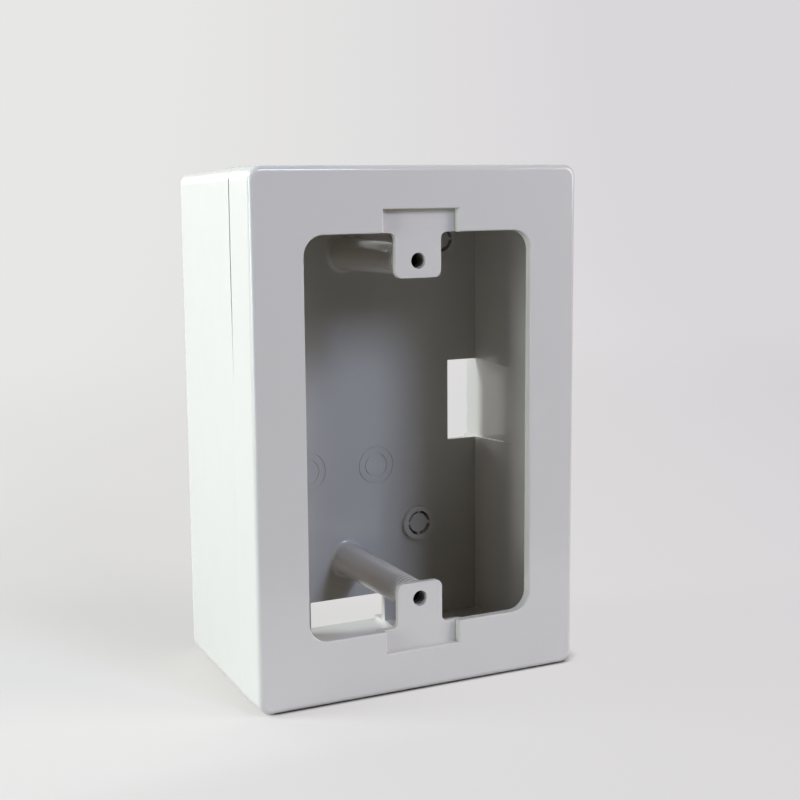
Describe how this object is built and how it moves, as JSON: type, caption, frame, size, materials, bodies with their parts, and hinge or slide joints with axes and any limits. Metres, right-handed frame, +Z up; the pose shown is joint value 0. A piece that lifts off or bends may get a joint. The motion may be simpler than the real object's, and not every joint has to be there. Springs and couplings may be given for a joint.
{
  "type": "surface mount junction box",
  "caption": "Deep rectangular surface mount electrical box with a rounded front frame, wide opening, screw lugs on posts, cable windows and wall fixing knock-outs.",
  "frame": {"origin": "middle of the rear rim, on the plane that lies on the wall", "axes": "+Y from the open front into the wall, +Z up along the long side, +X to the right seen from the front"},
  "size_m": [0.0874, 0.052, 0.1288],
  "materials": {
    "white_plastic": "semi-gloss moulded",
    "frame_plastic": "semi-gloss moulded"
  },
  "bodies": {
    "base": {"rear_base": "white_plastic"},
    "frame": {"front_frame": "frame_plastic"}
  },
  "joints": [
    {"name": "frame_pull", "type": "slide", "parent": "base", "child": "frame", "axis": [0, -1, 0], "range_m": [0, 0.05]}
  ]
}
